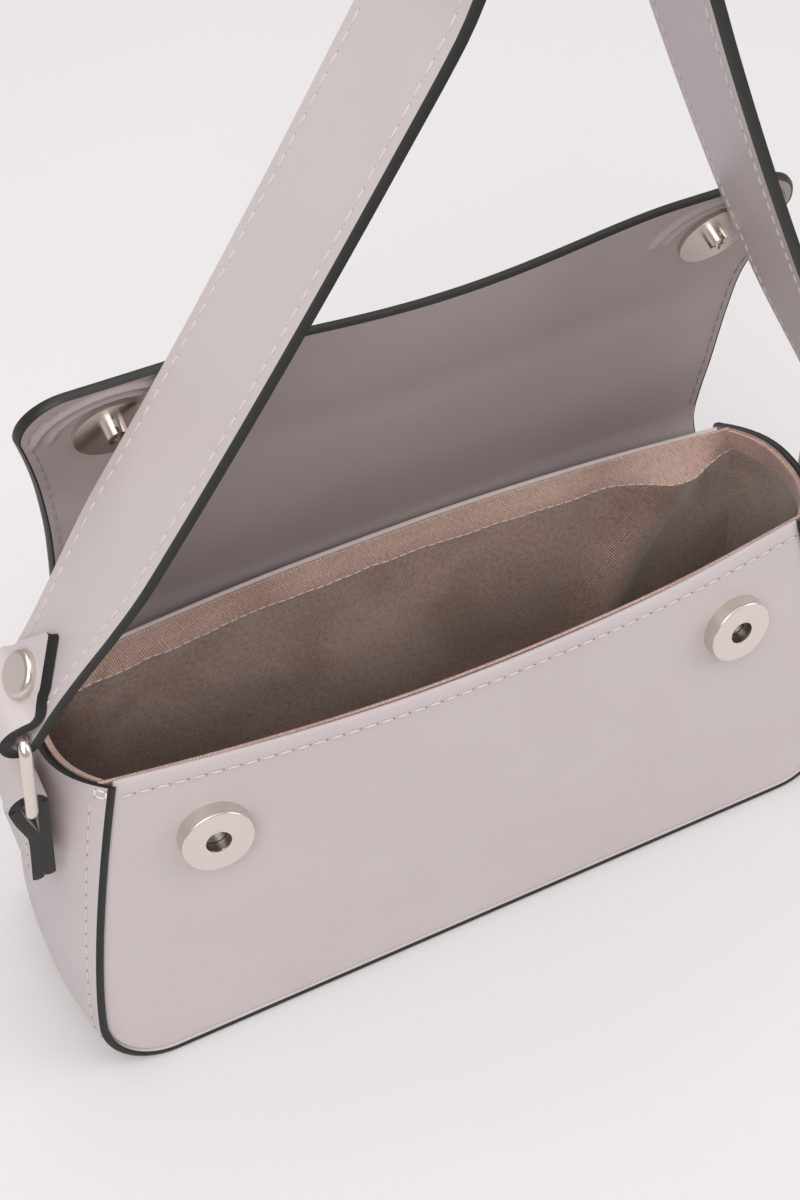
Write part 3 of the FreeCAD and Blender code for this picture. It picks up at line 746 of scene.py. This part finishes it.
face, back = thickRun(strapLine, strapHalf, strapY, strap["thick"])
strapPiece = sheetPiece("shoulderStrap", face, back, [leather, leather, edgePaint], dome=strap["dome"])
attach(strapPiece, "strap")
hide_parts("shoulder_strap")
print("strap ready")


# Stitches, laid along lines on the leather
stitch = {"pitch": 4.2 * mm, "length": 3.1 * mm, "radius": 0.25 * mm, "hole": 0.27 * mm, "lift": 0.05 * mm}


def stitchTree():
    tree = bpy.data.node_groups.new("stitch rows", "GeometryNodeTree")
    tree.interface.new_socket("Geometry", in_out="INPUT", socket_type="NodeSocketGeometry")
    for name in ("Pitch", "Length", "Radius", "Hole"):
        tree.interface.new_socket(name, in_out="INPUT", socket_type="NodeSocketFloat")
    for name in ("Material", "Hole Shade Material"):
        tree.interface.new_socket(name, in_out="INPUT", socket_type="NodeSocketMaterial")
    tree.interface.new_socket("Geometry", in_out="OUTPUT", socket_type="NodeSocketGeometry")
    given = addNode(tree, "NodeGroupInput")
    curve = addNode(tree, "GeometryNodeMeshToCurve", links={"Mesh": given.outputs["Geometry"]})
    spaced = addNode(tree, "GeometryNodeResampleCurve", {"mode": "LENGTH"},
                     {"Curve": curve.outputs["Curve"], "Length": given.outputs["Pitch"]})
    tangent = addNode(tree, "GeometryNodeInputTangent")
    turn = addNode(tree, "FunctionNodeAlignEulerToVector", {"axis": "Z"}, {"Vector": tangent.outputs["Tangent"]})
    sewing = addNode(tree, "GeometryNodeMeshUVSphere", {"Segments": 8, "Rings": 6, "Radius": 1.0})
    size = addNode(tree, "ShaderNodeCombineXYZ", links={"X": given.outputs["Radius"], "Y": given.outputs["Radius"]})
    halfLong = addNode(tree, "ShaderNodeMath", {"operation": "MULTIPLY", 1: 0.5}, {0: given.outputs["Length"]})
    tree.links.new(halfLong.outputs["Value"], size.inputs["Z"])
    # each stitch ends at a needle hole, drawn as a dot of painted shade
    reach = addNode(tree, "ShaderNodeMath", {"operation": "ADD"},
                    {0: halfLong.outputs["Value"], 1: given.outputs["Hole"]})
    step = addNode(tree, "ShaderNodeVectorMath", {"operation": "SCALE"},
                   {"Vector": tangent.outputs["Tangent"], "Scale": reach.outputs["Value"]})
    ends = addNode(tree, "GeometryNodeSetPosition",
                   links={"Geometry": spaced.outputs["Curve"], "Offset": step.outputs["Vector"]})
    needle = addNode(tree, "GeometryNodeMeshIcoSphere", {"Subdivisions": 1, "Radius": 1.0})
    joined = addNode(tree, "GeometryNodeJoinGeometry")
    for points, shape, scale, mat in ((spaced.outputs["Curve"], sewing, size.outputs["Vector"], "Material"),
                                      (ends.outputs["Geometry"], needle, given.outputs["Hole"], "Hole Shade Material")):
        laid = addNode(tree, "GeometryNodeInstanceOnPoints", links={
            "Points": points, "Instance": shape.outputs["Mesh"],
            "Rotation": turn.outputs["Rotation"], "Scale": scale})
        real = addNode(tree, "GeometryNodeRealizeInstances", links={"Geometry": laid.outputs["Instances"]})
        smooth = addNode(tree, "GeometryNodeSetShadeSmooth", links={"Geometry": real.outputs["Geometry"]})
        coloured = addNode(tree, "GeometryNodeSetMaterial", links={
            "Geometry": smooth.outputs["Geometry"], "Material": given.outputs[mat]})
        tree.links.new(coloured.outputs["Geometry"], joined.inputs["Geometry"])
    addNode(tree, "NodeGroupOutput", links={"Geometry": joined.outputs["Geometry"]})
    return tree


stitchRows = stitchTree()


def sewn(name, paths, mat=thread, sizes=stitch):
    verts, edges = [], []
    for path in paths:
        first = len(verts)
        verts += [tuple(p) for p in path]
        edges += [(first + i, first + i + 1) for i in range(len(path) - 1)]
    lines = bpy.data.meshes.new(name)
    lines.from_pydata(verts, edges, [])
    made = bpy.data.objects.new(name, lines)
    bpy.context.scene.collection.objects.link(made)
    rows = made.modifiers.new("rows", "NODES")
    rows.node_group = stitchRows
    values = {key.title(): sizes[key] for key in ("pitch", "length", "radius", "hole")}
    values.update({"Material": mat, "Hole Shade Material": holeShade})
    for item in stitchRows.interface.items_tree:
        if item.in_out == "INPUT" and item.name in values:
            rows[item.identifier] = values[item.name]
    graph = bpy.context.evaluated_depsgraph_get()
    mesh = bpy.data.meshes.new_from_object(made.evaluated_get(graph))
    made.modifiers.remove(rows)
    made.data = mesh
    return made


def onFront(x, z):
    return Vector((x, frontFace(x, z, z) - stitch["lift"], z - frontDrop(x, z)))


def onBack(x, z):
    return Vector((x, backFace(x, z, z) + stitch["lift"], z))


seam = {"edge": 2.6 * mm, "rim": 4 * mm, "side": 5 * mm, "hinge": 1 * mm, "skip": 4 * mm}


def panelSeams(on):
    z = body["height"] - seam["rim"]
    wide = halfWidth(z) - seam["side"]
    return [[on(x, z) for x in steps(60, -wide, wide)]]


def gussetSeam(seamY, inwards):
    # it stops short of the rim, where the bartacks are
    top = body["height"] - seam["rim"]
    spots = [spot for spot in outline if spot[1] < top]
    return [gussetAt(spot, seamY(spot[1]) + inwards * seam["edge"], -stitch["lift"]) for spot in spots]


def tabSeams(side):
    line = tabPath(side)
    high = pivots["left_ring_swing"].z - tab["seamBelow"]
    low = [p for p in line[len(line) // 2:] if tab["footZ"] + seam["edge"] < p.z < high]
    out = Vector((side * (tab["thick"] / 2.0 + stitch["lift"]), 0.0, 0.0))
    rows = []
    for v in (-1, 1):
        y = strapY + v * (tab["width"] / 2.0 - seam["edge"])
        rows.append([p + out + Vector((0.0, y, 0.0)) for p in low])
    return rows


bagRows = panelSeams(onFront) + panelSeams(onBack) + [gussetSeam(frontY, 1), gussetSeam(backY, -1)]
bagRows += tabSeams(-1) + tabSeams(1)
bagStitches = sewn("bagStitches", bagRows)
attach(bagStitches, "bag")

tack = {
    "pitch": 10 * mm, "length": 2.1 * mm, "radius": 0.26 * mm, "hole": 0.2 * mm,
    "below": 0.8 * mm, "side": 1.8 * mm, "over": -0.2 * mm, "run": 0.05 * mm,
}


def bartack(end, seamY, inwards):
    # a small square of thread over the end of a seam, at the top of the gusset
    def at(drop, d):
        z = body["height"] - tack["below"] - drop
        return gussetAt((end * halfWidth(z), z, end, 0.0), seamY(z) + inwards * d, -2.0 * stitch["lift"])

    side, over = tack["side"], tack["over"]
    corners = [at(0.0, over), at(0.0, side), at(side, side), at(side, over)]
    rows = []
    for a, b in zip(corners, corners[1:] + corners[:1]):
        along = (b - a).normalized() * tack["run"]
        rows.append([(a + b) / 2.0 - along, (a + b) / 2.0 + along])
    return rows


hemSewing = {"pitch": 2.6 * mm, "length": 2.4 * mm, "radius": 0.16 * mm, "hole": 0.08 * mm}
hemStitches = sewn("hemStitches", hemLines, hemThread, hemSewing)
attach(hemStitches, "bag")
tackRows = []
for end in (-1, 1):
    tackRows += bartack(end, frontY, 1) + bartack(end, backY, -1)
bartacks = sewn("bartacks", tackRows, tackThread, tack)
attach(bartacks, "bag")


def flapEdgeRow(depth, low, high):
    # along the side, round the corner and along the free edge, inside the painted cut
    inset = seam["edge"]
    lift = stitch["lift"] / flap["thick"]
    deep = depth + (lift if depth else -lift)
    rows = []
    stop = flapLength - flap["corner"]
    wide = flapHalf(stop)
    for s in (-1, 1):
        line = [(s * (flapHalf(r) - inset), r) for r in steps(30, low, min(high, stop))]
        if high > stop:
            small = flap["corner"] - inset
            for a in steps(8, 0.0, math.pi / 2.0)[1:]:
                line.append((s * (wide - flap["corner"] + small * math.cos(a)), stop + small * math.sin(a)))
        rows.append([flapPoint(x, r, deep) for x, r in line])
    if high > stop and depth == 0.0:
        far = wide - flap["corner"]
        rows.append([flapPoint(x, flapLength - inset, deep) for x in steps(80, -far, far)])
    return rows


rootSeam = hinge.z - body["height"] + flap["rootDrop"] - seam["edge"]
rootWide = flap["half"] - seam["edge"]
rootRow = [rootPoint(x, rootSeam, -stitch["lift"] / flap["outer"]) for x in steps(60, -rootWide, rootWide)]
upperFrom = flap["join"] + seam["skip"]
lowStitches = sewn("flapLowerStitches", flapEdgeRow(0.0, seam["hinge"], flap["join"]) + [rootRow])
highStitches = sewn("flapUpperStitches", flapEdgeRow(0.0, upperFrom, flapLength))
lowFacing = sewn("facingLowerStitches", flapEdgeRow(1.0, seam["skip"], flap["join"]), facingThreadInShade)
highFacing = sewn("facingUpperStitches", flapEdgeRow(1.0, upperFrom, flapLength), facingThreadInShade)
for piece in (flapLow, lowStitches, lowFacing):
    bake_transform(piece)
for piece in (flapHigh, highStitches, highFacing):
    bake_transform(piece)


def strapSeams():
    # from one loop to the other, on both faces
    loop = min(range(len(strapLine) // 2), key=lambda i: strapLine[i].z)
    first = loop + strap["seamFrom"]
    rows = []
    for sign in (-1, 1):
        for v in (-1, 1):
            line = []
            for i in range(first, len(strapLine) - first):
                p = strapLine[i]
                off = across(strapLine, i) * (sign * (strap["thick"] / 2.0 + stitch["lift"]))
                line.append(Vector((p.x, strapY + v * (p.y - seam["edge"]), p.z)) + off)
            rows.append(line)
    return rows


strapSewing = {**stitch, "hole": 0.12 * mm}
strapStitches = sewn("strapStitches", strapSeams(), sizes=strapSewing)
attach(strapStitches, "strap")
print("stitches ready")


# Metal keeps the solids of the frame
metalNames = ("socket", "stud", "rivet", "ring_left", "ring_right")
metalEdge = math.radians(30.0)
for name, node in nodes.items():
    if not name.startswith(metalNames):
        continue
    node.data.materials.clear()
    node.data.materials.append(magnetInShade if name.startswith("socket_magnet") else nickel)
    node.data.shade_smooth()
    node.data.set_sharp_from_angle(angle=metalEdge)
print("hardware ready")


# Floor, light and camera

def plane(name, half, mat):
    mesh = bpy.data.meshes.new(name)
    corners = [(-half, -half, 0.0), (half, -half, 0.0), (half, half, 0.0), (-half, half, 0.0)]
    mesh.from_pydata(corners, [], [(0, 1, 2, 3)])
    mesh.materials.append(mat)
    made = bpy.data.objects.new(name, mesh)
    bpy.context.scene.collection.objects.link(made)
    return made


plane("floor", 4.0, paper)

lamps = {
    "overhead softbox": {"at": (0.0, 0.1, 1.6), "size": 1.6, "watts": 14.3, "aim": (0.0, 0.0, 0.08)},
    "key softbox": {"at": (-0.75, -0.85, 1.35), "size": 1.1, "watts": 15.9, "aim": (0.0, 0.0, 0.08)},
    "side softbox": {"at": (1.3, -0.6, 0.8), "size": 1.0, "watts": 8.0, "aim": (0.0, 0.0, 0.08)},
    "backdrop lamp": {"at": (0.15, 0.55, 0.75), "size": 0.5, "watts": 0.75, "aim": (0.1, 0.4, 0.0)},
}
for name, lamp in lamps.items():
    data = bpy.data.lights.new(name, "AREA")
    data.shape = "SQUARE"
    data.size = lamp["size"]
    data.energy = lamp["watts"]
    holder = bpy.data.objects.new(name, data)
    holder.location = lamp["at"]
    holder.rotation_euler = (Vector(lamp["aim"]) - holder.location).to_track_quat("-Z", "Y").to_euler()
    bpy.context.scene.collection.objects.link(holder)

studio = {"sky": "#F4F3F3", "strength": 0.45}
world = bpy.data.worlds.new("studio")
world.use_nodes = True
sky = world.node_tree.nodes["Background"]
sky.inputs["Color"].default_value = linear(studio["sky"])
sky.inputs["Strength"].default_value = studio["strength"]
bpy.context.scene.world = world

camera = {
    "at": (-140.2 * mm, -245.4 * mm, 429.9 * mm), "azimuth": 27.18, "elevation": 49.79, "roll": 1.14,
    "focal": 1800.0, "frame": 1200.0, "sensor": 36.0,
}
azimuth, elevation, roll = (math.radians(camera[k]) for k in ("azimuth", "elevation", "roll"))
flat = math.cos(elevation)
forward = Vector((math.sin(azimuth) * flat, math.cos(azimuth) * flat, -math.sin(elevation)))
right = Vector((math.cos(azimuth), -math.sin(azimuth), 0.0))
upward = right.cross(forward)
tilted = right * math.cos(roll) + upward * math.sin(roll)
lensUp = upward * math.cos(roll) - right * math.sin(roll)
data = bpy.data.cameras.new("camera")
data.sensor_fit = "VERTICAL"
data.sensor_height = camera["sensor"]
data.lens = camera["sensor"] * camera["focal"] / camera["frame"]
holder = bpy.data.objects.new("camera", data)
holder.matrix_world = Matrix.Translation(camera["at"]) @ Matrix((tilted, lensUp, -forward)).transposed().to_4x4()
bpy.context.scene.collection.objects.link(holder)
bpy.context.scene.camera = holder
bpy.context.scene.view_settings.view_transform = "Standard"

print("scene ready")
